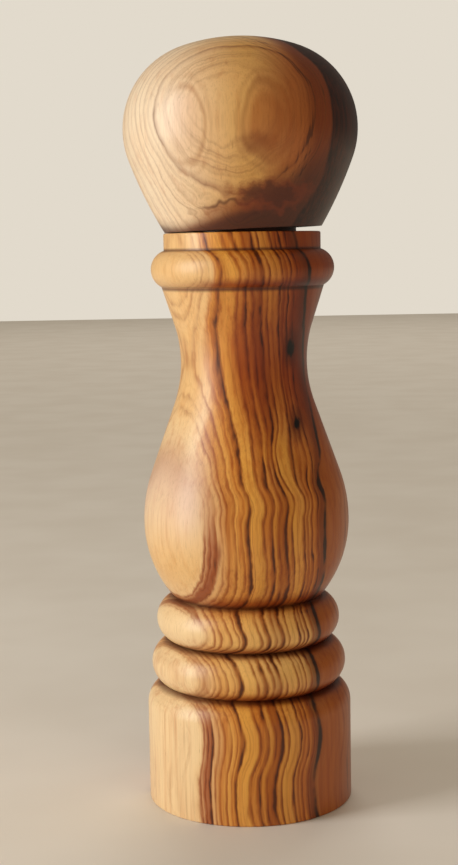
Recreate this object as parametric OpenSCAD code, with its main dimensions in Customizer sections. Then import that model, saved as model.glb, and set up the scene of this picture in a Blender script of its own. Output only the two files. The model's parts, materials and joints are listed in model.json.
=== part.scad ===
// Pepper mill, 20 cm class: turned body and head, hexagonal drive shaft,
// ceramic conical burrs with the grind adjuster under the base.
// Millimetres, +Z up, origin at the centre of the base, every part in its assembled place.

/* [Turned wood] */
// Diameter of the plain block at the foot
foot_d = 55; // [54:0.5:57]
// Widest diameter of the bulb
bulb_d = 54.9; // [53:0.1:57]
// Height of the widest part of the bulb
bulb_z = 76; // [75.5:0.5:77]
// Narrowest diameter of the neck
neck_d = 33.5; // [32.5:0.1:35]
// Height of the narrowest part of the neck
neck_z = 118.5; // [117:0.5:120]
// Diameter of the plain ring at the mouth
mouth_d = 41.4; // [41:0.2:43]
// Height of the mouth, where the head sits
mouth_z = 152.3; // [152:0.1:153]
// Widest diameter of the head
head_d = 61.4; // [60:0.2:63]
// Height of the widest part of the head
head_z = 179; // [178.5:0.5:180]
// Angle by which the head's shoulder is cut out of square
shoulder_tilt = 1.75; // [0:0.25:2]

/* [Bores in the wood] */
// Diameter of the peppercorn chamber
chamber_d = 25; // [23:0.5:26]
// Diameter of the bore for the grinder housing
housing_bore_d = 38; // [38:0.5:39]
// Diameter of the recess for the housing's flange
flange_bore_d = 45; // [45:0.5:46]
// Diameter of the tenon under the head
tenon_d = 28.6; // [27:0.2:29]

/* [Drive] */
// Width of the hexagonal shaft across its flats
hex_af = 7; // [6.5:0.1:7]
// Diameter of the shaft's threaded end
thread_d = 5; // [4:0.5:5]
// Clearance on each side of a turning or sliding fit
running_gap = 0.05; // [0.02:0.01:0.1]

/* [Grinder] */
// Gap between the burrs, measured level, at the middle setting
burr_gap = 0.55; // [0.5:0.05:0.8]
// Number of teeth on the turning burr
rotor_teeth = 9; // [6:1:12]
// Number of teeth in the fixed burr
stator_teeth = 16; // [10:1:20]
// Number of finger scallops on the adjuster knob
knob_scallops = 12; // [8:1:14]

/* [Hidden] */
$fn = 96;
eps = 0.01;

foot_r = foot_d / 2;
bulb_r = bulb_d / 2;
neck_r = neck_d / 2;
mouth_r = mouth_d / 2;
head_r = head_d / 2;
tenon_r = tenon_d / 2;
chamber_r = chamber_d / 2;
thread_r = thread_d / 2;

// Heights up the grinder
flange_z = 11;
flange_seat_z = 14;
housing_top_z = 39;
housing_seat_z = 40;
stator_z = [20, 33];
throat_z = 25.5;
rotor_z = [18.6, 31.5];
carrier_z = [16.2, 27];
boss_z = [34.5, 38.4];
bush_z = [33.5, 39.7];
spring_z = [carrier_z[1], 33];
knob_z = [4.6, 15.3];

// Radii in the grinder
housing_r = housing_bore_d / 2 - 0.2;
flange_r = flange_bore_d / 2 - 0.3;
stator_r = 16.8;
rotor_foot_r = 13;
rotor_throat_r = 10.2;
rotor_top_r = 8.2;
rotor_bore_r = 6.2;
boss_r = 7.5;
bridge_r = 17;
sleeve_r = 5.6;
flange_screw_r = (housing_r + flange_r) / 2;

// Heights up the head
tenon_z = 139.5;
tenon_seat_z = 138.8;
shaft_top_z = 166.5;
driver_top_z = 169;
snap_z = 161.8;
driver_screw_r = 10.6;

// Points along an arc from angle a0 to angle a1
function arc(centre, radius, a0, a1, steps = 12) = [
    for (i = [0 : steps])
        let (a = a0 + (a1 - a0) * i / steps)
        [centre[0] + radius * cos(a), centre[1] + radius * sin(a)]
];

// A hexagonal bar standing on z0
module hex_bar(across_flats, z0, z1) {
    translate([0, 0, z0])
        cylinder(r = across_flats / 2 / cos(30), h = z1 - z0, $fn = 6);
}

// A round bar or tube between two heights
module ring(outer_r, inner_r, z0, z1) {
    translate([0, 0, z0])
        difference() {
            cylinder(r = outer_r, h = z1 - z0);
            if (inner_r > 0)
                translate([0, 0, -1]) cylinder(r = inner_r, h = z1 - z0 + 2);
        }
}

// Copies spaced evenly round the axis
module around(count, start = 0) {
    for (i = [0 : count - 1])
        rotate([0, 0, start + i * 360 / count]) children();
}

// ---- Turned wood ----

// The bulb's flank is one arc, a straight taper and the hollow arc of the neck
bulb_low_r = 31.7;
bulb_up_r = 38.5;
neck_arc_r = 33.5;
bulb_low_c = [bulb_r - bulb_low_r, bulb_z];
bulb_up_c = [bulb_r - bulb_up_r, bulb_z];
neck_c = [neck_r + neck_arc_r, neck_z];
flank = neck_c - bulb_up_c;
flank_a = atan2(flank[1], flank[0]) - acos((bulb_up_r + neck_arc_r) / norm(flank));
// above the neck the hollow arc runs out into a straight flare under the mouth's bead
flare_a = 15;
flare_z = neck_z + neck_arc_r * sin(flare_a);
flare_top_z = mouth_z - 13;
flare_top_r = neck_c[0] - neck_arc_r * cos(flare_a) + (flare_top_z - flare_z) * tan(flare_a);

module body_outline() {
    bulb_foot_z = 52;
    bulb_foot_a = -asin((bulb_z - bulb_foot_z) / bulb_low_r);
    polygon(concat(
        [[0, bulb_foot_z]],
        arc(bulb_low_c, bulb_low_r, bulb_foot_a, 0),
        arc(bulb_up_c, bulb_up_r, 2, flank_a, 6),
        arc(neck_c, neck_arc_r, 180 + flank_a, 180 - flare_a, 14),
        [[flare_top_r, flare_top_z], [0, flare_top_z]]
    ));
    // plain block with its rounded shoulder
    shoulder_r = 6;
    shoulder_z = 26.2;
    translate([0, 0.5]) square([foot_r, shoulder_z - 0.5]);
    square([foot_r - 0.5, 1]);
    translate([foot_r - shoulder_r, shoulder_z]) circle(r = shoulder_r);
    square([foot_r - shoulder_r, shoulder_z + shoulder_r]);
    // two beads above the block
    square([18.5, bulb_foot_z + 1]);
    translate([19.75, 37.5]) circle(r = 6.4);
    translate([18.3, 49.5]) circle(r = 6.3);
    // bead and plain ring at the mouth
    translate([19, 142.9]) circle(r = 5.2);
    translate([0, 142]) square([mouth_r, mouth_z - 142.4]);
    translate([0, 142]) square([mouth_r - 0.4, mouth_z - 142]);
}

module body() {
    color("peru")
        difference() {
            rotate_extrude() intersection() {
                body_outline();
                square([40, 160]);
            }
            ring(flange_bore_d / 2, 0, -1, flange_seat_z);
            ring(housing_bore_d / 2, 0, -1, housing_seat_z);
            ring(chamber_r, 0, -1, mouth_z + 1);
            ring(tenon_r + 0.3, 0, tenon_seat_z, mouth_z + 1);
            around(3, 30)
                translate([flange_screw_r, 0, 0]) cylinder(r = 1.15, h = 24.5);
        }
}

// The head's side arc runs into a flatter crown arc above and a long flank arc below
crown_c = [head_r - 22.2, head_z];

module head_outline() {
    side_r = 22.2;
    crown_r = 49;
    crown_z = head_z + side_r * sin(71.4) - crown_r * sin(71.4);
    flank_arc_r = 110;
    flank_c = crown_c + (side_r - flank_arc_r) * [cos(-20), sin(-20)];
    low_z = mouth_z - 1;
    flank_end_a = -asin((flank_c[1] - low_z) / flank_arc_r);
    crown_end = crown_c + side_r * [cos(71.4), sin(71.4)];
    polygon(concat(
        [[0, low_z]],
        arc(flank_c, flank_arc_r, flank_end_a, -20, 10),
        arc(crown_c, side_r, -15, 71.4, 16),
        [
            for (i = [1 : 8])
                let (a = 71.4 + (90 - 71.4) * i / 8)
                [crown_end[0] * cos(a) / cos(71.4), crown_z + crown_r * sin(a)]
        ]
    ));
}

module head() {
    shoulder_low_z = mouth_z + 0.12;
    color("burlywood")
        difference() {
            union() {
                difference() {
                    rotate_extrude() head_outline();
                    // shoulder face, highest at +X
                    translate([-mouth_r, 0, shoulder_low_z])
                        rotate([0, -shoulder_tilt, 0])
                            translate([-5, -40, -20]) cube([80, 80, 20]);
                }
                ring(tenon_r, 0, tenon_z, mouth_z + 8);
            }
            ring(12.8, 0, tenon_z - 1, tenon_z + 2.2);
            ring(8.8, 0, tenon_z - 1, driver_top_z + 0.5);
            around(2)
                translate([driver_screw_r, 0, tenon_z]) cylinder(r = 1.15, h = 11.5);
        }
}

// ---- Head drive ----

module driver_screw_cut(extra) {
    translate([driver_screw_r, 0, tenon_z]) {
        cylinder(r1 = 2.1 + extra, r2 = 1.1 + extra, h = 1.2);
        translate([0, 0, 1]) cylinder(r = 1.1 + extra, h = 10);
    }
}

module head_driver() {
    color("ivory")
        difference() {
            union() {
                ring(12.6, 0, tenon_z, tenon_z + 2);
                ring(8.6, 0, tenon_z + 1, driver_top_z);
                around(4, 45)
                    translate([0, -0.75, tenon_z + 2]) cube([11.5, 1.5, 0.15]);
            }
            hex_bar(hex_af + 2 * running_gap, tenon_z - 1, shaft_top_z + 0.8);
            translate([0, 0, tenon_z - eps]) cylinder(r1 = 6.2, r2 = 3.2, h = 3);
            ring(5.5, 0, snap_z - 0.65, snap_z + 0.65);
            around(2) driver_screw_cut(0.08);
        }
}

module screw_drive(z) {
    translate([-1, -0.25, z - eps]) cube([2, 0.5, 0.5]);
    translate([-0.25, -1, z - eps]) cube([0.5, 2, 0.5]);
}

module driver_screws() {
    color("silver")
        around(2)
            difference() {
                driver_screw_cut(0);
                translate([driver_screw_r, 0, 0]) screw_drive(tenon_z);
            }
}

module driver_snap_ring() {
    color("gray")
        difference() {
            rotate_extrude() translate([4.7, snap_z]) circle(r = 0.5);
            translate([0, -1, snap_z - 2]) cube([8, 2, 4]);
        }
}

// ---- Shaft ----

module drive_shaft() {
    color("lightgray")
        difference() {
            union() {
                intersection() {
                    hex_bar(hex_af, 16.6, shaft_top_z);
                    rotate_extrude()
                        polygon([[0, 16], [4.2, 16], [4.2, shaft_top_z - 2], [2.7, shaft_top_z], [0, shaft_top_z]]);
                }
                ring(thread_r, 0, 3, 17);
            }
            ring(6, 3, 39.8, 40.5);
            ring(6, 3.3, snap_z - 0.8, snap_z + 0.8);
            ring(6, thread_r - 0.6, 3.5, 4.05);
        }
}

module shaft_bush() {
    color("white")
        difference() {
            union() {
                ring(7.2, 0, boss_z[1] + 0.1, bush_z[1]);
                ring(sleeve_r, 0, bush_z[0], bush_z[1]);
            }
            hex_bar(hex_af + 0.04, bush_z[0] - 1, bush_z[1] + 1);
            ring(8, 4.9, 33.8, 34.4);
        }
}

// A ring cut open at +X, as a circlip or an E-clip is
module open_clip(outer_r, inner_r, z0, z1, mouth_w) {
    difference() {
        ring(outer_r, inner_r, z0, z1);
        translate([0, -mouth_w / 2, z0 - 1]) cube([outer_r + 1, mouth_w, z1 - z0 + 2]);
    }
}

module bush_circlip() {
    color("dimgray") open_clip(6.9, 4.95, 33.85, 34.35, 3);
}

module shaft_clip() {
    color("dimgray")
        difference() {
            open_clip(6, 3.05, 39.85, 40.45, 5.2);
            around(2, 120)
                translate([3.4, 0, 39]) cylinder(r = 1.1, h = 2);
        }
}

module end_clip() {
    color("dimgray")
        difference() {
            open_clip(4.4, thread_r - 0.55, 3.55, 4, 3.2);
            around(2, 120)
                translate([2.3, 0, 3]) cylinder(r = 0.7, h = 2);
        }
}

module spring_washer() {
    color("silver") ring(5.5, 4.2, spring_z[1], bush_z[0]);
}

// Round-wire spring with closed ends, swept along a helix
module burr_spring() {
    wire_r = 0.42;
    mean_r = 4.8;
    turns = 4.5;
    steps = 108;
    sides = 8;
    low = spring_z[0] + wire_r;
    high = spring_z[1] - wire_r;
    // the wire climbs slowly over its first and last turns, and evenly between
    function height(t) =
        t < 1 ? low + wire_r * t * t
        : t > turns - 1 ? high - wire_r * pow(turns - t, 2)
        : low + wire_r + (high - low - 2 * wire_r) * (t - 1) / (turns - 2);
    points = [
        for (i = [0 : steps])
            let (t = turns * i / steps, a = 360 * t)
            for (k = [0 : sides - 1])
                let (b = 360 * k / sides, r = mean_r + wire_r * cos(b))
                [r * cos(a), r * sin(a), height(t) + wire_r * sin(b)]
    ];
    walls = [
        for (i = [0 : steps - 1], k = [0 : sides - 1])
            let (n = (k + 1) % sides)
            [i * sides + k, i * sides + n, (i + 1) * sides + n, (i + 1) * sides + k]
    ];
    first = [for (k = [sides - 1 : -1 : 0]) k];
    last = [for (k = [0 : sides - 1]) steps * sides + k];
    color("silver") polyhedron(points, concat(walls, [first, last]), convexity = 8);
}

// ---- Burrs ----

module rotor_burr() {
    color("whitesmoke")
        difference() {
            rotate_extrude()
                polygon([
                    [rotor_bore_r, rotor_z[0]], [rotor_foot_r, rotor_z[0]], [rotor_foot_r, rotor_z[0] + 0.9],
                    [rotor_throat_r, throat_z], [rotor_top_r, rotor_z[1]], [rotor_bore_r, rotor_z[1]]
                ]);
            // coarse flutes that draw the corns in, then fine cutting grooves
            around(rotor_teeth)
                translate([rotor_throat_r + 0.55, 0, throat_z + 2.5])
                    rotate([-24, -18.5, 0]) cylinder(r = 1.5, h = 13, center = true, $fn = 4);
            around(rotor_teeth * 4)
                translate([rotor_foot_r - 1.2, 0, rotor_z[0] + 3.4])
                    rotate([-28, -23.3, 0]) cylinder(r = 0.42, h = 11, center = true, $fn = 4);
            // keyways for the carrier
            around(2, 90)
                translate([0, -1.5, rotor_z[0] - 1]) cube([7.4, 3, 5.6]);
        }
}

module rotor_carrier() {
    color("ivory")
        difference() {
            union() {
                ring(11.8, 0, carrier_z[0], rotor_z[0]);
                ring(rotor_bore_r - 0.1, 0, carrier_z[0], carrier_z[1]);
                around(2, 90)
                    translate([0, -1.4, rotor_z[0] - 0.5]) cube([7.2, 2.8, 4.8]);
            }
            hex_bar(hex_af + 2 * running_gap, carrier_z[0] - 1, carrier_z[1] + 1);
        }
}

module knob_washer() {
    color("silver") ring(7, 4.4, knob_z[1] + 0.1, carrier_z[0]);
}

module adjuster_knob() {
    rim_r = 9;
    color("ivory")
        difference() {
            union() {
                ring(rim_r, 0, knob_z[0] + 0.6, 11);
                ring(rim_r - 0.6, 0, knob_z[0], 11.6);
                ring(5.6, 0, 11, knob_z[1]);
            }
            ring(thread_r + running_gap, 0, 0, 20);
            // the shaft's hexagon ends inside the knob's mouth
            ring(4.5, 0, 14.4, 20);
            around(knob_scallops)
                translate([rim_r + 1.1, 0, 0]) cylinder(r = 1.7, h = 20, $fn = 48);
            // dished face with a setting dot
            ring(6.6, 5, knob_z[0] - 1, knob_z[0] + 0.8);
            translate([7.3, 0, knob_z[0] - 1]) cylinder(r = 0.45, h = 1.6, $fn = 32);
        }
}

module stator_burr() {
    bore_throat_r = rotor_throat_r + burr_gap;
    slope = (rotor_foot_r - rotor_throat_r) / (throat_z - rotor_z[0] - 0.9);
    foot_r_in = bore_throat_r + slope * (throat_z - stator_z[0]);
    color("whitesmoke")
        difference() {
            rotate_extrude()
                polygon([
                    [stator_r, stator_z[0]], [stator_r, stator_z[1]], [14.6, stator_z[1]],
                    [bore_throat_r, throat_z], [foot_r_in, stator_z[0]]
                ]);
            around(stator_teeth)
                translate([bore_throat_r + 1.7, 0, throat_z + 3.7])
                    rotate([24, 27, 0]) cylinder(r = 0.9, h = 9.5, center = true, $fn = 4);
            around(stator_teeth * 2)
                translate([bore_throat_r + 1.2, 0, throat_z - 2.6])
                    rotate([24, -23.3, 0]) cylinder(r = 0.45, h = 8, center = true, $fn = 4);
            // two flats' worth of key slots on the rim
            around(2)
                translate([stator_r - 0.8, -1.5, stator_z[1] - 2]) cube([2, 3, 3]);
        }
}

module stator_ring() {
    color("ivory")
        difference() {
            ring(stator_r, 14.5, 17.2, stator_z[0]);
            around(4)
                translate([13, -1.5, 16]) cube([2.6, 3, 2.4]);
        }
}

// ---- Housing ----

module grinder_housing() {
    color("ivory")
        difference() {
            union() {
                ring(flange_r, 0, flange_z, flange_seat_z);
                ring(housing_r, 0, flange_z, housing_top_z);
            }
            ring(stator_r + 0.1, 0, flange_z - 1, stator_z[1] + 0.1);
            // ledge between the fixed burr below and the bridge above
            ring(15.2, 0, stator_z[1], housing_top_z);
            ring(bridge_r + 0.1, 0, boss_z[0] - 0.05, housing_top_z + 1);
            around(3, 30) {
                translate([flange_screw_r, 0, flange_z - 1]) cylinder(r = 1.2, h = 6);
                translate([flange_screw_r, 0, flange_z - eps]) cylinder(r1 = 1.75, r2 = 1.2, h = 1);
            }
        }
}

// Rim, four arms and the boss that the bush turns in
module bearing_bridge() {
    color("ivory")
        difference() {
            union() {
                difference() {
                    ring(bridge_r, 0, boss_z[0], housing_top_z);
                    translate([0, 0, boss_z[0] - eps])
                        cylinder(r1 = 15.2, r2 = 13.6, h = housing_top_z - boss_z[0] + 2 * eps);
                }
                ring(boss_r, 0, boss_z[0], boss_z[1]);
                around(4, 45)
                    translate([0, -1.5, boss_z[0]]) cube([bridge_r - 1, 3, boss_z[1] - boss_z[0]]);
            }
            ring(sleeve_r + running_gap, 0, 30, 45);
        }
}

module housing_screws() {
    color("silver")
        around(3, 30)
            translate([flange_screw_r, 0, 0])
                difference() {
                    union() {
                        translate([0, 0, flange_z]) cylinder(r1 = 1.65, r2 = 1.1, h = 0.95);
                        translate([0, 0, flange_z + 0.5]) cylinder(r = 1.1, h = 12.5);
                    }
                    screw_drive(flange_z);
                }
}

body();
head();
head_driver();
driver_screws();
driver_snap_ring();
drive_shaft();
shaft_bush();
bush_circlip();
shaft_clip();
spring_washer();
burr_spring();
rotor_burr();
rotor_carrier();
knob_washer();
adjuster_knob();
end_clip();
grinder_housing();
bearing_bridge();
housing_screws();
stator_burr();
stator_ring();
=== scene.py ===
import json
import math

import bpy
from mathutils import Matrix, Vector

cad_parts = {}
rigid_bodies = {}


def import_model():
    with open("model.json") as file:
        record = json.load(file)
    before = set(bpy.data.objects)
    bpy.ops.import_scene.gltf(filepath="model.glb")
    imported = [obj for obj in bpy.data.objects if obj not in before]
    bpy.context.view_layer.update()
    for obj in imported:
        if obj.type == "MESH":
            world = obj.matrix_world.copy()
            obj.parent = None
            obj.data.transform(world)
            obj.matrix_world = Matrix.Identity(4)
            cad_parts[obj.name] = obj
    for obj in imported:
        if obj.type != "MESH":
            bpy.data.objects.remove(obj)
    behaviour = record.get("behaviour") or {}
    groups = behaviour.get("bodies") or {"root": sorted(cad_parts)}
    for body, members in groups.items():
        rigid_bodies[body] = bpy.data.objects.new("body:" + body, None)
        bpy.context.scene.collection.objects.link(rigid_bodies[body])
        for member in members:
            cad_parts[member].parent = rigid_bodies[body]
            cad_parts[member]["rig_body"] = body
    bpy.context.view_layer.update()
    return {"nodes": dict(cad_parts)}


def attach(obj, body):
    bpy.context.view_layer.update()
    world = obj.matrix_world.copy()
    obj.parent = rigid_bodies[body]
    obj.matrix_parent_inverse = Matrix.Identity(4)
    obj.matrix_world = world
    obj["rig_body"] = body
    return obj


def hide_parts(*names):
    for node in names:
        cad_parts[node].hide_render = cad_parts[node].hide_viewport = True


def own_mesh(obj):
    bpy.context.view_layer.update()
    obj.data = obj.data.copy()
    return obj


# A turned olive-wood pepper mill. Outlines are in millimetres, and mm turns them into metres.
# +Z is up the mill, and -Y faces the viewer.
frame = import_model()
mm = 0.001

# ---------------------------------------------------------------------------
# The camera stands level with the joint under the head, a forearm's length away.
# It looks a little down, and leans one degree.
camera_data = bpy.data.cameras.new("camera")
camera_data.lens = 65
camera_data.clip_start = 0.01
camera = bpy.data.objects.new("camera", camera_data)
bpy.context.scene.collection.objects.link(camera)
eye, downward, lean = (-0.0043, -0.415, 0.148), 6.7, -1
camera.matrix_world = (
    Matrix.Translation(eye)
    @ Matrix.Rotation(math.radians(90 - downward), 4, "X")
    @ Matrix.Rotation(math.radians(lean), 4, "Z")
)
bpy.context.scene.camera = camera
bpy.context.scene.view_settings.view_transform = "Standard"


# ---------------------------------------------------------------------------
# The body is turned from one blank of olive wood: a plain block at the foot, two
# beads, a bulb, a hollow neck, and a bead and a plain ring at the mouth. It is bored
# right through in four steps, then sanded and oiled.
def arc(centre, radius, start, end, step=4):
    """Points along an arc from one angle to another, in degrees."""
    count = max(2, math.ceil(abs(end - start) / step))
    angles = [math.radians(start + (end - start) * i / count) for i in range(count + 1)]
    return [(centre[0] + radius * math.cos(a), centre[1] + radius * math.sin(a)) for a in angles]


def crossing(centre_a, radius_a, centre_b, radius_b):
    """The outer point where two circles cross, as its angle on each."""
    dx, dz = centre_b[0] - centre_a[0], centre_b[1] - centre_a[1]
    distance = math.hypot(dx, dz)
    along = (distance**2 + radius_a**2 - radius_b**2) / (2 * distance)
    aside = math.sqrt(radius_a**2 - along**2)
    x = centre_a[0] + (along * dx + aside * abs(dz)) / distance
    z = centre_a[1] + (along * dz - aside * dx * math.copysign(1, dz)) / distance
    angles = [math.atan2(z - c[1], x - c[0]) for c in (centre_a, centre_b)]
    return [math.degrees(a) for a in angles]


def turned(name, outline, body):
    """A piece turned on a lathe: its closed outline of (radius, height) is drawn, then spun."""
    bpy.ops.object.select_all(action="DESELECT")
    bpy.ops.mesh.primitive_circle_add(vertices=3, radius=0.1 * mm)
    piece = bpy.context.object
    piece.name = piece.data.name = name
    bpy.ops.object.mode_set(mode="EDIT")
    bpy.ops.mesh.select_all(action="SELECT")
    bpy.ops.mesh.merge(type="CENTER")
    bpy.ops.transform.translate(value=(outline[0][0] * mm, 0, outline[0][1] * mm))
    for (r0, z0), (r1, z1) in zip(outline, outline[1:] + outline[:1]):
        bpy.ops.mesh.extrude_region_move(
            TRANSFORM_OT_translate={"value": ((r1 - r0) * mm, 0, (z1 - z0) * mm)}
        )
    bpy.ops.mesh.select_all(action="SELECT")
    bpy.ops.mesh.spin(steps=180, angle=2 * math.pi, center=(0, 0, 0), axis=(0, 0, 1))
    bpy.ops.mesh.select_all(action="SELECT")
    bpy.ops.mesh.remove_doubles(threshold=0.001 * mm)
    bpy.ops.mesh.normals_make_consistent(inside=False)
    bpy.ops.object.mode_set(mode="OBJECT")
    bpy.ops.object.shade_smooth_by_angle(angle=math.radians(28))
    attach(piece, body)
    return piece


def body_outline():
    """The body's closed outline, from the foot up the outside and down the bores."""
    bulb_r, bulb_z, low_r, up_r = 27.45, 76, 31.7, 38.5
    neck_r, neck_z, neck_hollow = 16.75, 118.5, 33.5
    bulb_low, bulb_up = (bulb_r - low_r, bulb_z), (bulb_r - up_r, bulb_z)
    neck = (neck_r + neck_hollow, neck_z)
    to_neck = (neck[0] - bulb_up[0], neck[1] - bulb_up[1])
    meeting = math.acos((up_r + neck_hollow) / math.hypot(*to_neck))
    flank = math.degrees(math.atan2(to_neck[1], to_neck[0]) - meeting)
    shoulder, lower_bead, upper_bead = ((21.5, 26.2), 6), ((19.75, 37.5), 6.4), ((18.3, 49.5), 6.3)
    crease_1 = crossing(*shoulder, *lower_bead)
    crease_2 = crossing(*lower_bead, *upper_bead)
    crease_3 = crossing(*upper_bead, bulb_low, low_r)
    # the flare leaves the neck at 15 degrees and runs into the mouth's bead
    mouth_bead, bead_r, mouth_r, mouth_z = (19, 142.9), 5.2, 20.7, 152.3
    flare, flare_z = math.radians(15), 139.05
    flare_start = (neck[0] - neck_hollow * math.cos(flare), neck[1] + neck_hollow * math.sin(flare))
    flare_end = (flare_start[0] + (flare_z - flare_start[1]) * math.tan(flare), flare_z)
    bead_low = math.degrees(math.atan2(flare_end[1] - mouth_bead[1], flare_end[0] - mouth_bead[0]))
    bead_high = math.degrees(math.acos((mouth_r - mouth_bead[0]) / bead_r))
    # the bores take the head's tenon, the peppercorns, the grinder's housing and its flange
    tenon_bore, pepper_bore, housing_bore, flange_bore, bevel = 14.6, 12.5, 19, 22.5, 0.4
    return [
        *arc((27, 0.5), 0.5, -90, 0, 30),
        *arc(*shoulder, 0, crease_1[0]),
        *arc(*lower_bead, crease_1[1], crease_2[0]),
        *arc(*upper_bead, crease_2[1], crease_3[0]),
        *arc(bulb_low, low_r, crease_3[1], 0, 2),
        *arc(bulb_up, up_r, 1.5, flank, 2),
        *arc(neck, neck_hollow, 180 + flank, 165, 2),
        *arc(mouth_bead, bead_r, bead_low, bead_high),
        *arc((mouth_r - bevel, mouth_z - bevel), bevel, 0, 90, 30),
        (tenon_bore + bevel, mouth_z), (tenon_bore, mouth_z - bevel), (tenon_bore, 138.8),
        (pepper_bore, 138.8), (pepper_bore, 40), (housing_bore, 40), (housing_bore, 14),
        (flange_bore, 14), (flange_bore, bevel), (flange_bore + bevel, 0),
    ]


turned_body = turned("turned_body", body_outline(), "base")
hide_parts("body")


class Flow:
    """A value or a colour on its way through a finish. Values take plain arithmetic."""

    def __init__(self, finish, socket):
        self.finish, self.socket = finish, socket

    def maths(self, operation, *others):
        return self.finish.node("ShaderNodeMath", {"operation": operation}, [self, *others])

    def __add__(self, other):
        return self.maths("ADD", other)

    def __sub__(self, other):
        return self.maths("SUBTRACT", other)

    def __rsub__(self, other):
        return self.finish.node("ShaderNodeMath", {"operation": "SUBTRACT"}, [other, self])

    def __mul__(self, other):
        return self.maths("MULTIPLY", other)

    def __truediv__(self, other):
        return self.maths("DIVIDE", other)

    __radd__ = __add__
    __rmul__ = __mul__

    def step(self, low, high):
        """0 at low, 1 at high, and smooth between. Low may be the larger of the two."""
        settings = {"interpolation_type": "SMOOTHSTEP"}
        return self.finish.node("ShaderNodeMapRange", settings, [self, low, high])

    def near(self, centre, reach):
        """1 at centre, falling to 0 a reach away on either side."""
        return (self - centre).maths("ABSOLUTE").step(reach, 0)

    def wave(self, crest, length):
        """From -1 to 1 and back every length, 1 at the crest."""
        return ((self - crest) * (2 * math.pi / length)).maths("COSINE")

    def ramp(self, stops, low=0, high=1):
        """A colour, or a shade from 0 to 1, read off stops of (place, colour) between low and high."""
        ramp = {"stops": [((place - low) / (high - low), colour) for place, colour in stops]}
        return self.finish.node("ShaderNodeValToRGB", ramp, [(self - low) / (high - low)])

    def curve(self, points, low, high, least, most):
        """A smooth line through points of (place, value), with values between least and most."""
        line = {"points": [((x - low) / (high - low), (y - least) / (most - least)) for x, y in points]}
        flow = self.finish.node("ShaderNodeFloatCurve", line, [1.0, (self - low) / (high - low)])
        return flow * (most - least) + least


class Finish:
    """One material and the nodes that vary it over a piece."""

    def __init__(self, name, **constants):
        self.name = name
        self.material = bpy.data.materials.new(name)
        self.material.use_nodes = True
        self.shader = self.material.node_tree.nodes["Principled BSDF"]
        for socket, value in constants.items():
            self.shader.inputs[socket.replace("_", " ")].default_value = value
        self.place = self.node("ShaderNodeTexCoord", {}, [], "Object")

    def node(self, kind, settings, inputs, output=0):
        """Any node, from its type, its settings, and the values or flows of its sockets."""
        node = self.material.node_tree.nodes.new(kind)
        for name, value in settings.items():
            if name == "stops":
                elements = node.color_ramp.elements
                while len(elements) < len(value):
                    elements.new(0.5)
                for element, (place, colour) in zip(elements, value):
                    element.position = place
                    element.color = colour if isinstance(colour, tuple) else (colour, colour, colour, 1)
            elif name == "points":
                line = node.mapping.curves[0].points
                while len(line) < len(value):
                    line.new(0.5, 0.5)
                for point, place in zip(line, value):
                    point.location = place
                node.mapping.update()
            else:
                setattr(node, name, value)
        for slot, value in inputs.items() if isinstance(inputs, dict) else enumerate(inputs):
            if isinstance(value, Flow):
                self.material.node_tree.links.new(value.socket, node.inputs[slot])
            else:
                node.inputs[slot].default_value = value
        return Flow(self, node.outputs[output])

    def axes(self):
        """How far right, back and up a point lies, in millimetres."""
        return [self.node("ShaderNodeSeparateXYZ", {}, [self.place], axis) * 1000 for axis in "XYZ"]

    def grain(self, size, detail=2.0, seed=0):
        """Noise from about -1 to 1 whose grains measure size = (x, y, z) millimetres."""
        scale = [1 / (s * mm) for s in size]
        mapping = {"Vector": self.place, "Location": (seed, seed * 1.7, seed * 0.3), "Scale": scale}
        mapped = self.node("ShaderNodeMapping", {}, mapping)
        noise = {"Vector": mapped, "Scale": 1.0, "Detail": detail, "Roughness": 0.55}
        return self.node("ShaderNodeTexNoise", {}, noise) * 4 - 2

    def streaks(self, depth, up, width, length, seed=0):
        """Noise drawn out along the sheets of growth, width mm across them and length mm up."""
        place = self.node("ShaderNodeCombineXYZ", {}, [depth / width, up / length, seed])
        return self.node("ShaderNodeTexNoise", {}, {"Vector": place, "Scale": 1.0, "Detail": 2.0}) * 4 - 2

    def spot(self, centre, size, warp=None):
        """0 at a centre in millimetres, and 1 on the ellipsoid of that size round it."""
        middle, reach = [c * mm for c in centre], [s * mm for s in size]
        offset = self.node("ShaderNodeVectorMath", {"operation": "SUBTRACT"}, [self.place, middle])
        scaled = self.node("ShaderNodeVectorMath", {"operation": "DIVIDE"}, [offset, reach])
        distance = self.node("ShaderNodeVectorMath", {"operation": "LENGTH"}, [scaled], "Value")
        return distance + warp if warp else distance

    def mix(self, factor, first, second, blend="MIX"):
        """The first colour at factor 0, and the second laid over it at factor 1."""
        settings = {"data_type": "RGBA", "blend_type": blend}
        return self.node("ShaderNodeMix", settings, {0: factor, 6: first, 7: second}, 2)

    def relief(self, height, depth):
        """A bump of so many millimetres per unit of height."""
        return self.node("ShaderNodeBump", {}, {"Height": height, "Distance": depth * mm, "Strength": 1.0})

    def wear(self, **sockets):
        """Feeds the shader's sockets."""
        for name, flow in sockets.items():
            self.material.node_tree.links.new(flow.socket, self.shader.inputs[name.replace("_", " ")])


def tint(red, green, blue):
    """A colour from 0 to 255 as light, with its alpha."""
    shares = [c / 255 for c in (red, green, blue)]
    return (*(((s + 0.055) / 1.055) ** 2.4 if s > 0.04045 else s / 12.92 for s in shares), 1.0)


def rings(depth, lines, low, high):
    """How dark the late wood is across the growth, from lines of (place, width, darkness): each
    comes on slowly over its width and ends sharply."""
    stops = []
    for place, width, darkness in lines:
        stops += [(place - width, 0.0), (place, darkness), (place + width * 0.45, 0.0)]
    return depth.ramp(stops, low, high)


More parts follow.
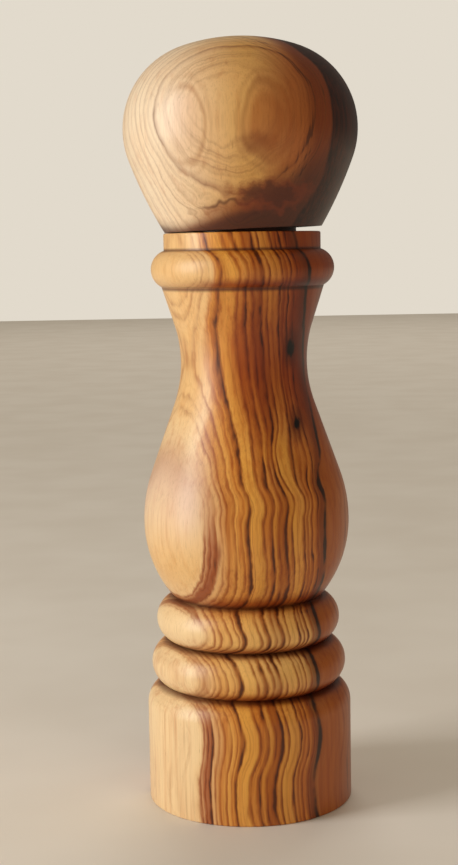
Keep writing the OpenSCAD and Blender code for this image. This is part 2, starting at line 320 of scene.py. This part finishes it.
def oiled(wood, colour, dark):
    """Closes a wood's finish: pores and fibres in the colour, and an oiled, hand-rubbed gloss."""
    fibre = wood.grain((0.35, 0.35, 9), 3.0, 3)
    pores = wood.grain((0.16, 0.16, 2.2), 1.0, 7).step(0.75, 1.2)
    colour = wood.mix(fibre.step(-0.2, 1.6) * 0.28, colour, tint(120, 66, 28), "MULTIPLY")
    colour = wood.mix(pores * 0.35, colour, tint(110, 58, 26), "MULTIPLY")
    rubbed = wood.grain((11, 11, 17), 2.0, 11)
    wood.wear(
        Base_Color=colour,
        Roughness=0.4 + rubbed * 0.035 + pores * 0.12 + dark * 0.05,
        Normal=wood.relief(fibre * 0.5 - pores, 0.012),
    )


# The growth of the body's blank lies in upright sheets that face the viewer's right, sapwood
# on the left and brown wood on the right. They wander sideways up the mill, and part round a
# knot. depth is how far across the sheets a point lies.
wood = Finish("olive_wood_body", Specular_IOR_Level=0.35, Coat_Weight=0.3, Coat_Roughness=0.34)
right, back, up = wood.axes()
across = right * 0.866 + back * 0.5
wander = up.curve([
    (0, -3.4), (10, -4.4), (22, -2.1), (30, -3.2), (34, -1.6), (43, -2.5), (46.5, 0.2), (53, -0.9),
    (58, 1.7), (66, 0.9), (78, -0.3), (84, 0.6), (89, -0.3), (95, 0.2), (115, 0), (130, -1.6),
    (141.5, -3.5), (153, -5.6),
], 0, 153, -6, 3)
inner = across.step(-24, -15)
sway = wood.grain((17, 17, 42), 1.0, 21) * 0.3 + wood.grain((4, 4, 12), 1.0, 5) * 0.26
quiver = wood.grain((1.1, 1.1, 4.5), 2.0, 9) * 0.17
depth = across - wander * (inner * 0.65 + 0.35) - (1 - inner) * 1.1 - sway - quiver
knot = wood.spot((11, -18, 94), (8, 9, 10)).step(1.1, 0.3)
depth = depth - (depth - 2.2) * knot * 0.5
zones = depth.ramp([
    (-30, tint(240, 208, 156)), (-20.4, tint(230, 184, 122)), (-18, tint(204, 134, 58)),
    (-16, tint(226, 162, 76)), (-14.6, tint(206, 130, 50)), (-13, tint(228, 162, 68)),
    (-10.2, tint(230, 164, 70)), (-9, tint(204, 126, 42)), (-7, tint(216, 142, 52)),
    (-5.2, tint(176, 96, 20)), (-3.4, tint(210, 136, 46)), (-1.4, tint(228, 160, 64)),
    (0.8, tint(222, 152, 58)), (2, tint(188, 108, 26)), (4.2, tint(202, 122, 36)),
    (6, tint(160, 80, 14)), (8.5, tint(156, 78, 14)), (12, tint(170, 90, 20)), (30, tint(158, 78, 16)),
], -31, 31)
late_left = rings(depth, [
    (-19.4, 0.8, 0.5), (-18.1, 0.8, 0.5), (-16.3, 0.9, 0.55), (-14.6, 0.7, 0.4), (-13.1, 1.3, 1.0),
    (-11.2, 0.6, 0.2), (-9.4, 1.0, 0.6), (-7.4, 1.3, 0.9),
], -28, -6)
late_right = rings(depth, [
    (-5.6, 1.0, 0.65), (-3.8, 1.3, 1.0), (-2.1, 0.8, 0.7), (-0.6, 0.7, 0.3), (1.2, 0.9, 0.85),
    (2.4, 0.7, 0.55), (3.6, 0.8, 0.85), (5.5, 1.2, 0.8),
], -7, 12)
late_far = rings(depth, [
    (12.5, 1.6, 0.4), (15.5, 1.2, 0.45), (18.2, 1.6, 0.6), (20.2, 1.0, 0.4), (22.3, 1.4, 0.75),
    (23.8, 0.8, 0.5), (25.4, 1.0, 0.8), (26.4, 0.6, 0.5),
], 7, 28)
# a red band divides the sapwood from the rest, strongest in the foot and low on the bulb
band = up.curve([
    (0, 1), (24, 1), (33, 0.4), (54, 0.5), (63, 0.9), (72, 0.8), (82, 0.35), (112, 0),
], 0, 112, 0, 1)
band_lines = rings(depth, [(-22.9, 0.6, 0.8), (-22, 0.7, 0.7), (-20.9, 0.9, 0.9)], -26, -18) * band
# a dark line hooks round low on the bulb, at the sapwood's edge
hook = (depth + 20.4 + up.step(74, 60) * 1.2).near(0, 1.2) * up.step(76, 71) * up.step(50, 58)
# the pale sapwood reaches further round towards the neck, and on the upper bead
pale = (depth + 23.4 - up.step(88, 114) * 8.4 - up.near(49, 7) * 2.4).step(0.9, -0.9)
strength = 0.9 + wood.grain((3, 3, 11), 2.0, 13) * 0.5
late = late_left * (1 - up.step(98, 112) * 0.15) + late_right + late_far + band_lines
late = late * strength * (1 - pale * (0.75 - up.step(92, 108) * 0.4))
late = late * (1 - up.near(38, 6) * 0.3)
# a black streak runs up the right side, with a bruise beside it
streak_depth = up.curve([
    (0, 7.6), (70, 8), (80, 8.3), (87, 7.5), (93, 9.3), (100, 10.4), (125, 10.2), (153, 8.4),
], 0, 153, 7, 11)
blotches = up.near(87.5, 3.5) + up.near(72, 3) * 0.8
streak_strength = 0.75 + wood.grain((5, 5, 8), 2.0, 17) * 0.5 + blotches * 0.5
streak = (depth - streak_depth + quiver * 2).near(0, 1.3) * streak_strength
bruise = (depth - streak_depth).near(-1.2, 2.6)
# painted shade darkens the creases between the turned shapes
crease_shade = (
    up.near(31.8, 1.1) + up.near(43.7, 1.1) + up.near(55.8, 1.3)
    + up.near(137.9, 0.9) + up.near(147.9, 0.7)
)
# the colours are laid one over another, from the growth's zones to the darkest lines
colour = wood.mix(depth.near(-21.8, 2.1) * (band * 0.75 + 0.2), zones, tint(164, 92, 52))
colour = wood.mix(pale * 0.9, colour, tint(238, 206, 156))
colour = wood.mix(wood.grain((8, 8, 30), 2.0, 2).step(-0.3, 1.2) * 0.25, colour, tint(220, 158, 100))
shade = wood.grain((1.3, 1.3, 26), 2.0, 8).step(-0.3, 1.3)
colour = wood.mix(shade * 0.45, colour, tint(206, 130, 56), "MULTIPLY")
fine = wood.streaks(depth, up, 0.55, 26, 3)
broad = wood.streaks(depth, up, 1.9, 34, 8)
colour = wood.mix(broad.step(0, 1.2) * (0.15 + inner * 0.45), colour, tint(168, 90, 24))
colour = wood.mix(broad.step(-0.1, -1.2) * inner * depth.step(12, 6) * 0.4, colour, tint(236, 178, 88))
colour = wood.mix(fine.step(0.1, 1.2) * (0.2 + inner * 0.4), colour, tint(150, 78, 20))
# a painted lilac sheen on the bulb's left with golden wood under it, the neck's and beads' paler wood, and
# painted light on the beads
colour = wood.mix(up.near(90, 24) * across.near(-23.6, 4) * 0.65, colour, tint(184, 136, 112))
colour = wood.mix(up.near(90, 24) * across.step(-22, -26) * 0.5, colour, tint(228, 196, 174))
colour = wood.mix(up.near(66, 15) * pale * 0.6, colour, tint(224, 172, 98))
colour = wood.mix(up.step(98, 112) * pale * 0.5, colour, tint(226, 174, 100))
colour = wood.mix(up.near(50, 8) * across.step(-19, -24) * 0.9, colour, tint(238, 206, 156))
# painted highlight: both beads are made a paler gold, where they catch the light
bead_painted_light = up.near(44, 13).maths("SQRT") * inner * depth.step(8, 5)
colour = wood.mix(bead_painted_light * 0.6, colour, tint(250, 208, 130))
colour = wood.mix(hook * 0.7, colour, tint(138, 60, 20))
colour = wood.mix(bruise * 0.6, colour, tint(104, 42, 8))
colour = wood.mix(late.step(0, 0.55) * 0.8, colour, tint(152, 70, 10))
colour = wood.mix(late.step(0.42, 0.92) * 0.9, colour, tint(70, 25, 3))
colour = wood.mix(streak.step(0.15, 0.8) * 0.92, colour, tint(28, 11, 3))
# two pits in the neck
for centre, size in (((12, -12, 122.5), (1, 4, 2.4)), ((13.2, -15.5, 103), (1, 4, 1.9))):
    pit = wood.spot(centre, size, quiver * 2)
    colour = wood.mix(pit.step(3.2, 0.8) * 0.7, colour, tint(96, 40, 10))
    colour = wood.mix(pit.step(1.15, 0.6), colour, tint(16, 7, 3))
# the neck's brown wood is the darkest, and painted shade darkens the underside of each turned shape just
# above its crease
colour = wood.mix(up.step(100, 138) * depth.step(-9, 5) * 0.6, colour, tint(190, 122, 78), "MULTIPLY")
dusk = up.near(119, 23).maths("SQRT") * depth.step(-14, -9)
colour = wood.mix(dusk * 0.85, colour, tint(196, 138, 112), "MULTIPLY")
# painted shade on the undersides just above the creases
underside_shade = up.near(32.6, 2.6) + up.near(44.6, 2.6) + up.near(56.8, 3.4) + up.near(139, 2.2)
colour = wood.mix(underside_shade.maths("MINIMUM", 1) * inner * 0.75, colour, tint(168, 74, 32), "MULTIPLY")
# painted shade in the creases
colour = wood.mix(crease_shade.maths("MINIMUM", 1) * 0.75, colour, tint(90, 40, 14), "MULTIPLY")
oiled(wood, colour, late)
turned_body.data.materials.append(wood.material)


# ---------------------------------------------------------------------------
# The head is turned from another piece of the same wood. Its tenon drops into the mouth,
# and its shoulder is cut a little out of square, so the joint opens towards the right.
plug_bore, plug_top, ball_foot = 8.8, 169.5, 151.3


def head_outline():
    """The ball's closed outline, from the tenon's bore up the outside to the crown and back."""
    side, side_r, crown_r, flank_r = (8.5, 179), 22.2, 49, 110
    turn, tilt = math.radians(71.4), math.radians(-20)
    crown_z = side[1] + (side_r - crown_r) * math.sin(turn)
    crown_end = side[0] + side_r * math.cos(turn)
    flank = (side[0] + (side_r - flank_r) * math.cos(tilt), side[1] + (side_r - flank_r) * math.sin(tilt))
    crown = [
        (crown_end * math.cos(a) / math.cos(turn), crown_z + crown_r * math.sin(a))
        for a in (turn + (math.pi / 2 - turn) * i / 14 for i in range(1, 15))
    ]
    crown[-1] = (0, crown[-1][1])
    return [
        (plug_bore, ball_foot),
        *arc(flank, flank_r, -math.degrees(math.asin((flank[1] - ball_foot) / flank_r)), -20, 1),
        *arc(side, side_r, -17, 71.4),
        *crown,
        (0, plug_top), (plug_bore, plug_top),
    ]


head_ball = turned("turned_head", head_outline(), "head")
# the shoulder: everything under the sloping plane comes off, from just over the mouth's left edge
left_edge = (-20.7 * mm, 0, 152.42 * mm)
slope = math.radians(1.75)
bpy.ops.object.mode_set(mode="EDIT")
bpy.ops.mesh.select_all(action="SELECT")
bpy.ops.mesh.bisect(
    plane_co=left_edge,
    plane_no=(-math.sin(slope), 0, math.cos(slope)),
    use_fill=True,
    clear_inner=True,
)
bpy.ops.object.mode_set(mode="OBJECT")
# the tenon is bored for the driver's plug, with a recess for its flange
tenon = turned("tenon", [
    (plug_bore, 160), (plug_bore, 141.7), (12.8, 141.7), (12.8, 139.7), (13, 139.5), (14, 139.5),
    (14.3, 139.8), (14.3, 154.5), (9.8, 154.5), (9.8, 160),
], "head")
bpy.ops.object.select_all(action="DESELECT")
head_ball.select_set(True)
bpy.context.view_layer.objects.active = head_ball
union = head_ball.modifiers.new("union", "BOOLEAN")
union.operation = "UNION"
union.object = tenon
union.solver = "EXACT"
bpy.ops.object.modifier_apply(modifier="union")
bpy.data.objects.remove(tenon)
bpy.ops.object.shade_smooth_by_angle(angle=math.radians(28))
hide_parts("head")

# The head's growth lies in hollow sheets that open towards the viewer, so the sapwood shows
# as ovals there. The heartwood starts at a plane on the right, and spreads under the ball.
wood = Finish("olive_wood_head", Specular_IOR_Level=0.35, Coat_Weight=0.3, Coat_Roughness=0.34)
right, back, up = wood.axes()
height = up - 179
sway = wood.grain((12, 12, 20), 1.0, 31) * 0.8 + wood.grain((3.5, 3.5, 7), 2.0, 35) * 0.28
low_left = wood.spot((-8, -22, 157), (10, 9, 6)).step(1.2, 0.2)
curl = wood.grain((5, 5, 4), 1.0, 37) * low_left * 1.6
depth = back + right * 0.065 - height * 0.131 - height * height * 0.00476 + sway + curl
across = right * 0.81 + back * 0.59 + sway * 0.7
zones = depth.ramp([
    (-31, tint(220, 170, 98)), (-25.5, tint(216, 164, 90)), (-24, tint(196, 138, 66)),
    (-23.2, tint(222, 170, 92)), (-21.2, tint(222, 170, 94)), (-17, tint(236, 198, 140)),
    (-8, tint(224, 174, 104)), (0, tint(214, 156, 80)), (10, tint(210, 148, 72)), (31, tint(220, 164, 90)),
], -31, 31)
late_left = rings(depth, [
    (-28.2, 0.8, 0.15), (-26.2, 0.6, 0.25), (-24, 0.9, 0.6), (-22.6, 0.6, 0.3), (-21.2, 0.7, 0.45),
    (-19.4, 0.6, 0.3), (-17.4, 0.8, 0.45), (-15.4, 0.6, 0.25), (-13.2, 0.9, 0.4), (-9.4, 0.9, 0.4),
], -31, -5)
late_right = rings(depth, [
    (-5, 0.8, 0.4), (-1.6, 0.9, 0.4), (2.4, 0.9, 0.4), (6, 1.1, 0.5), (9.5, 0.8, 0.5), (12.4, 1.0, 0.6),
    (16, 1.0, 0.4), (19, 1.0, 0.5), (22.5, 0.9, 0.5), (25.5, 1.0, 0.5),
], -7, 31)
# fine dark lines run along the heartwood's edge
edge_lines = rings(across + up.step(188, 203) * 5, [
    (-6.2, 0.8, 0.25), (-4.1, 0.7, 0.4), (-2.9, 0.5, 0.3), (-1.6, 0.8, 0.6), (-0.8, 0.6, 0.5),
], -9, 1) * up.step(158, 166)
under = (164 - up).maths("MAXIMUM", 0)
# a painted sheen makes the front of the left flank the palest, and the growth turns red towards the
# heartwood
flank = right.step(3, -23) * (1 - back.step(-12, 8) * 0.55)
red = (across + under * 1.75 + 1.2).step(-3.4, 2.4)
# painted shade on the ball's lower right, deepest towards the heartwood
low_right_shade = (across + (173 - up).maths("MAXIMUM", 0) * 1.3).step(-1, 9) * up.step(180, 160)
late = (late_left + late_right) * (0.9 + wood.grain((4, 4, 9), 2.0, 33) * 0.3)
late = late * (1 + red * 0.9) + edge_lines
# two ovals of sapwood, with a fold in the right one and fine ticks between them
wobble = wood.grain((6, 6, 9), 1.0, 41) * 0.1
left_oval = wood.spot((-14, -25, 178.6), (5.8, 9, 9.2), wobble)
right_oval = wood.spot((6, -28, 179), (6.2, 9, 9.6), wobble)
fold = wood.spot((4.4, -29, 173.5), (5, 9, 3.6), wobble * 2).step(1.2, 0.3)
ticks = wood.grain((0.7, 3, 6), 1.0, 51).step(0.3, 1) * wood.spot((-4, -29, 169.5), (5, 9, 6)).step(1, 0.5)
# low on the front, a wavy dark line runs into a ragged brown blotch
squirm = wood.grain((4, 4, 9), 1.0, 43)
wavy_line = up - 159.6 - right * 0.14 - squirm * 1.5
wavy_reach = right.step(-13, -7) * right.step(9, 4)
ragged = squirm * 0.35 + wood.grain((2, 2, 1.2), 2.0, 61) * 0.22
blotch = wood.spot((8.5, -24, 161.2), (10, 9, 3.6), ragged)
# painted shade: the ball turns brown towards its underside and its right
low_brown_shade = (under * 2 + right - 5).step(-4, 9)
heart = (across - 0.4 - up.step(152, 167) * 5.6 + up.step(188, 203) * 5).step(-0.6, 0.7)
# painted sheen over the front of the left flank
colour = wood.mix(flank * 0.85, zones, tint(242, 224, 196))
colour = wood.mix(wood.grain((9, 9, 18), 2.0, 2).step(-0.4, 1.2) * 0.25, colour, tint(226, 172, 118))
shade = wood.grain((1.6, 1.6, 24), 2.0, 8).step(0, 1.4)
colour = wood.mix(shade * 0.3, colour, tint(206, 138, 76), "MULTIPLY")
colour = wood.mix(left_oval.step(1.1, 0.6) * 0.4, colour, tint(222, 180, 142))
rims = left_oval.near(1.02, 0.16) + left_oval.near(1.3, 0.14) * 0.4
colour = wood.mix(rims * (right + 17).step(-5, 6) * 0.4, colour, tint(166, 100, 44))
colour = wood.mix(right_oval.step(1.15, 0.5) * 0.65, colour, tint(180, 104, 40))
rims = right_oval.near(0.98, 0.2) + right_oval.near(1.25, 0.14) * 0.5 + right_oval.near(0.6, 0.2) * 0.4
colour = wood.mix(rims * 0.4, colour, tint(144, 76, 26))
colour = wood.mix(fold * 0.6, colour, tint(132, 64, 18))
colour = wood.mix(ticks * 0.55, colour, tint(140, 80, 30))
# painted shade under the ball and on its right
colour = wood.mix(low_brown_shade * 0.85, colour, tint(164, 82, 28))
colour = wood.mix(red * 0.88, colour, tint(116, 46, 6))
colour = wood.mix(late.maths("MINIMUM", 1) * 0.75, colour, tint(132, 68, 20))
colour = wood.mix(late.step(0.4, 1) * 0.75, colour, tint(66, 27, 6))
# painted shade low on the right, darkest beside the heartwood
colour = wood.mix(low_right_shade * 0.8, colour, tint(62, 24, 6))
fine = wood.streaks(depth, across, 0.6, 30, 5)
colour = wood.mix(fine.step(0, 1.2) * 0.35, colour, tint(150, 84, 34), "MULTIPLY")
colour = wood.mix(wavy_line.near(-0.8, 2.6) * wavy_reach * 0.5, colour, tint(138, 66, 22))
colour = wood.mix(wavy_line.near(0, 0.8) * wavy_reach * 0.7, colour, tint(84, 36, 12))
colour = wood.mix(blotch.step(1.4, 0.7) * 0.7, colour, tint(126, 50, 12))
colour = wood.mix(blotch.step(0.95, 0.45) * 0.65, colour, tint(66, 24, 5))
heartwood = wood.mix(wood.grain((1, 1, 18), 3.0, 47).step(-0.8, 1), tint(34, 10, 2), tint(72, 28, 9))
colour = wood.mix(heart, colour, heartwood)
oiled(wood, colour, heart)
head_ball.data.materials.append(wood.material)

# ---------------------------------------------------------------------------
# The driver is a flanged plug of ivory nylon, moulded in one shot and pressed up into the
# tenon. Two plated screws hold its flange, and a round-wire ring in it grips the shaft.
def eased(name, width, finish):
    """A small piece with its edges softened by the mould, the press or the tumbler."""
    bpy.ops.object.select_all(action="DESELECT")
    piece = bpy.data.objects.new("eased_" + name, frame["nodes"][name].data.copy())
    bpy.context.scene.collection.objects.link(piece)
    bpy.context.view_layer.objects.active = piece
    piece.select_set(True)
    bpy.ops.object.mode_set(mode="EDIT")
    bpy.ops.mesh.select_all(action="SELECT")
    bpy.ops.mesh.remove_doubles(threshold=0.002 * mm)
    bpy.ops.mesh.dissolve_limited(angle_limit=math.radians(0.5))
    bpy.ops.object.mode_set(mode="OBJECT")
    softened = piece.modifiers.new("softened", "BEVEL")
    softened.width = width * mm
    softened.segments = 2
    softened.limit_method = "ANGLE"
    softened.angle_limit = math.radians(35)
    bpy.ops.object.modifier_apply(modifier="softened")
    bpy.ops.object.shade_smooth_by_angle(angle=math.radians(32))
    piece.data.materials.clear()
    piece.data.materials.append(finish.material)
    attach(piece, frame["nodes"][name]["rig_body"])
    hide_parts(name)
    return piece


nylon = Finish("moulded_nylon", Specular_IOR_Level=0.45, Subsurface_Weight=0.06, Subsurface_Scale=0.002)
cloud = nylon.grain((7, 7, 9), 2.0, 2)
spark = nylon.grain((0.22, 0.22, 0.22), 2.0, 4)
dusty = nylon.grain((4, 4, 4), 1.0, 8).step(-0.2, 0.8)
dust = nylon.grain((0.5, 0.5, 0.5), 3.0, 6).step(0.75, 1.1) * dusty
colour = nylon.mix(cloud.step(-1, 1), tint(214, 206, 186), tint(226, 219, 202))
colour = nylon.mix(dust * 0.6, colour, tint(112, 84, 56))
nylon.wear(
    Base_Color=colour,
    Roughness=0.44 + spark * 0.04 + dust * 0.2,
    Normal=nylon.relief(spark + cloud * 0.6, 0.008),
)

zinc = Finish("zinc_plated_steel", Metallic=1.0)
cloud = zinc.grain((1.6, 1.6, 1.6), 3.0, 3)
scratch = zinc.grain((0.12, 1.4, 1.4), 2.0, 5).step(0.5, 1.3)
colour = zinc.mix(cloud.step(-0.8, 0.9), tint(176, 182, 190), tint(204, 203, 192))
colour = zinc.mix(scratch * 0.4, colour, tint(140, 142, 146))
zinc.wear(
    Base_Color=colour,
    Roughness=0.3 + cloud * 0.05 + scratch * 0.15,
    Normal=zinc.relief(cloud - scratch, 0.004),
)

spring_steel = Finish("spring_steel", Metallic=1.0)
oil = spring_steel.grain((1.2, 1.2, 1.2), 3.0, 7)
drawn = spring_steel.grain((0.15, 0.15, 0.5), 2.0, 9)
colour = spring_steel.mix(oil.step(-0.6, 1), tint(92, 92, 95), tint(58, 50, 44))
colour = spring_steel.mix(drawn.step(0.4, 1.2) * 0.4, colour, tint(132, 132, 134))
spring_steel.wear(
    Base_Color=colour,
    Roughness=0.34 + oil * 0.06 + drawn * 0.03,
    Normal=spring_steel.relief(drawn + oil, 0.003),
)

eased("head_driver", 0.18, nylon)
eased("driver_screws", 0.08, zinc)
eased("driver_snap_ring", 0.05, spring_steel)


# ---------------------------------------------------------------------------
# The shaft is bright drawn aluminium bar, with a lower end turned and threaded. It hangs on
# its E-clip from a white acetal bush, which a circlip keeps in the housing's boss.
aluminium = Finish("drawn_aluminium", Metallic=1.0)
right, back, up = aluminium.axes()
drawn = aluminium.grain((0.1, 0.1, 14), 3.0, 3)
dull = aluminium.grain((3, 3, 16), 2.0, 5)
nick = aluminium.grain((0.4, 0.4, 0.9), 1.0, 8).step(1.0, 1.3)
turned_end = up.step(16.8, 16.4)
helix = up / 0.8 + back.maths("ARCTAN2", right) / (2 * math.pi)
thread = (helix * 2 * math.pi).maths("SINE") * turned_end
colour = aluminium.mix(dull.step(-1, 1), tint(196, 197, 200), tint(216, 216, 217))
colour = aluminium.mix(drawn.step(0.2, 1.4) * 0.4, colour, tint(150, 151, 154))
colour = aluminium.mix(nick * 0.6, colour, tint(120, 114, 106))
# painted shade darkens the grooves of the thread
aluminium.wear(
    Base_Color=aluminium.mix(thread.step(-0.3, -1) * 0.6, colour, tint(96, 94, 92)),
    Roughness=0.27 + dull * 0.04 + drawn * 0.05 + nick * 0.2,
    Normal=aluminium.relief(drawn * 0.02 - nick * 0.04 + thread, 0.16),
)

acetal = Finish("bearing_acetal", Specular_IOR_Level=0.5)
up = acetal.axes()[2]
turning = up.wave(0, 0.3) * 0.4 + acetal.grain((0.6, 0.6, 0.2), 2.0, 2)
smear = acetal.grain((2.5, 2.5, 2.5), 2.0, 4).step(0.3, 1.2)
acetal.wear(
    Base_Color=acetal.mix(smear * 0.4, tint(232, 231, 224), tint(188, 180, 164)),
    Roughness=0.26 + turning * 0.03 + smear * 0.15,
    Normal=acetal.relief(turning, 0.004),
)

eased("drive_shaft", 0.2, aluminium)
eased("shaft_bush", 0.15, acetal)
for clip in ("shaft_clip", "bush_circlip"):
    eased(clip, 0.08, spring_steel)
# the end clip, under the knob, rests on the lower side of its groove
end_clip = eased("end_clip", 0.08, spring_steel)
end_clip.data.transform(Matrix.Translation((0, 0, -0.04 * mm)))


# ---------------------------------------------------------------------------
# The burrs are fired ceramic, left unglazed, with ground teeth that pepper stains. The carrier
# keys the inner one to the shaft, and the spring and a washer press it down.
ceramic = Finish("burr_ceramic", Specular_IOR_Level=0.5)
fired = ceramic.grain((0.35, 0.35, 0.35), 3.0, 2)
speck = ceramic.grain((0.6, 0.6, 0.6), 1.0, 4).step(1.1, 1.4)
stain = ceramic.grain((3, 3, 4), 3.0, 6).step(-0.1, 1.2)
colour = ceramic.mix(fired.step(-1, 1), tint(216, 211, 198), tint(232, 229, 220))
colour = ceramic.mix(stain * 0.4, colour, tint(176, 152, 116))
colour = ceramic.mix(speck * 0.6, colour, tint(104, 84, 62))
ceramic.wear(
    Base_Color=colour,
    Roughness=0.5 + fired * 0.05 + stain * 0.1,
    Normal=ceramic.relief(fired, 0.02),
)

for burr in ("rotor_burr", "stator_burr"):
    eased(burr, 0.1, ceramic)
for moulding in ("rotor_carrier", "stator_ring"):
    eased(moulding, 0.15, nylon)
for washer in ("spring_washer", "knob_washer"):
    eased(washer, 0.1, zinc)
spring = eased("burr_spring", 0.1, spring_steel)
# the burr rises 0.6 mm into the spring's 6 mm
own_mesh(spring)


# ---------------------------------------------------------------------------
# The housing is an ivory nylon moulding held in the base by three plated screws, and the
# bridge that carries the bush is pressed in over the burrs.
for moulding in ("grinder_housing", "bearing_bridge"):
    eased(moulding, 0.25, nylon)
eased("housing_screws", 0.08, zinc)


# ---------------------------------------------------------------------------
# The adjuster is a scalloped knob of glossy ivory plastic, which fingers turn under the foot.
# A dark dot in its dished face shows the setting.
knob_plastic = Finish("knob_plastic", Specular_IOR_Level=0.5, Coat_Weight=0.2, Coat_Roughness=0.15)
flow_marks = knob_plastic.grain((5, 5, 2), 2.0, 2)
scuff = knob_plastic.grain((0.3, 1.6, 0.3), 3.0, 4).step(0.7, 1.3)
dot = knob_plastic.spot((7.3, 0, 5), (0.47, 0.47, 1.6)).step(1.02, 0.98)
grime = knob_plastic.grain((1, 1, 2), 2.0, 6).step(0.2, 1.4)
colour = knob_plastic.mix(flow_marks.step(-1, 1), tint(200, 188, 164), tint(212, 202, 180))
colour = knob_plastic.mix(grime * 0.35, colour, tint(150, 128, 98))
knob_plastic.wear(
    Base_Color=knob_plastic.mix(dot * 0.95, colour, tint(36, 30, 26)),
    Roughness=0.24 + scuff * 0.2 + grime * 0.15,
    Normal=knob_plastic.relief(flow_marks * 0.4 - scuff, 0.006),
)
eased("adjuster_knob", 0.3, knob_plastic)


# ---------------------------------------------------------------------------
# Plain pale floor, and soft light: a broad window-like source on the left, a weak one on the
# right, and one high behind that lights the floor.
bpy.ops.object.select_all(action="DESELECT")
bpy.ops.mesh.primitive_plane_add(size=6)
floor = bpy.context.object
floor.name = "floor"
paper = Finish("floor_paper", Roughness=0.7)
cloud = paper.grain((60, 60, 60))
paper.wear(Base_Color=paper.mix(cloud.step(-1, 1), tint(226, 219, 208), tint(232, 226, 216)))
floor.data.materials.append(paper.material)

centre = Vector((0, 0, 100 * mm))
for name, place, width, height, watts, colour in (
    ("window", (-0.75, -0.28, 0.34), 0.32, 0.7, 5.6, (1.0, 0.98, 0.96)),
    ("fill", (0.45, -0.95, 0.35), 0.8, 0.8, 2.1, (1.0, 0.88, 0.7)),
    ("far", (0.2, 2.4, 2.4), 2.0, 1.4, 34.0, (1.0, 0.95, 0.88)),
):
    lamp = bpy.data.lights.new(name, "AREA")
    lamp.shape = "RECTANGLE"
    lamp.size = width
    lamp.size_y = height
    lamp.energy = watts
    lamp.color = colour
    light = bpy.data.objects.new(name, lamp)
    bpy.context.scene.collection.objects.link(light)
    light.location = place
    light.rotation_euler = (centre - light.location).to_track_quat("-Z", "Y").to_euler()
    light.visible_camera = False
    # only the window is mirrored in the oiled wood
    light.visible_glossy = name == "window"

world = bpy.data.worlds.new("studio")
world.use_nodes = True
air = world.node_tree
background = air.nodes["Background"]
background.inputs["Color"].default_value = (1.0, 0.84, 0.62, 1)
background.inputs["Strength"].default_value = 0.27
# the air behind the mill is paler than the light it gives, and the oiled wood mirrors a dim room
passes = air.nodes.new("ShaderNodeLightPath")
light_out = background.outputs[0]
for ray, air_colour, strength in (
    ("Is Camera Ray", tint(226, 218, 204), 1.0),
    ("Is Glossy Ray", (1.0, 0.9, 0.76, 1), 0.16),
):
    beyond = air.nodes.new("ShaderNodeBackground")
    beyond.inputs["Color"].default_value = air_colour
    beyond.inputs["Strength"].default_value = strength
    seen = air.nodes.new("ShaderNodeMixShader")
    air.links.new(passes.outputs[ray], seen.inputs[0])
    air.links.new(light_out, seen.inputs[1])
    air.links.new(beyond.outputs[0], seen.inputs[2])
    light_out = seen.outputs[0]
air.links.new(light_out, air.nodes["World Output"].inputs["Surface"])
bpy.context.scene.world = world
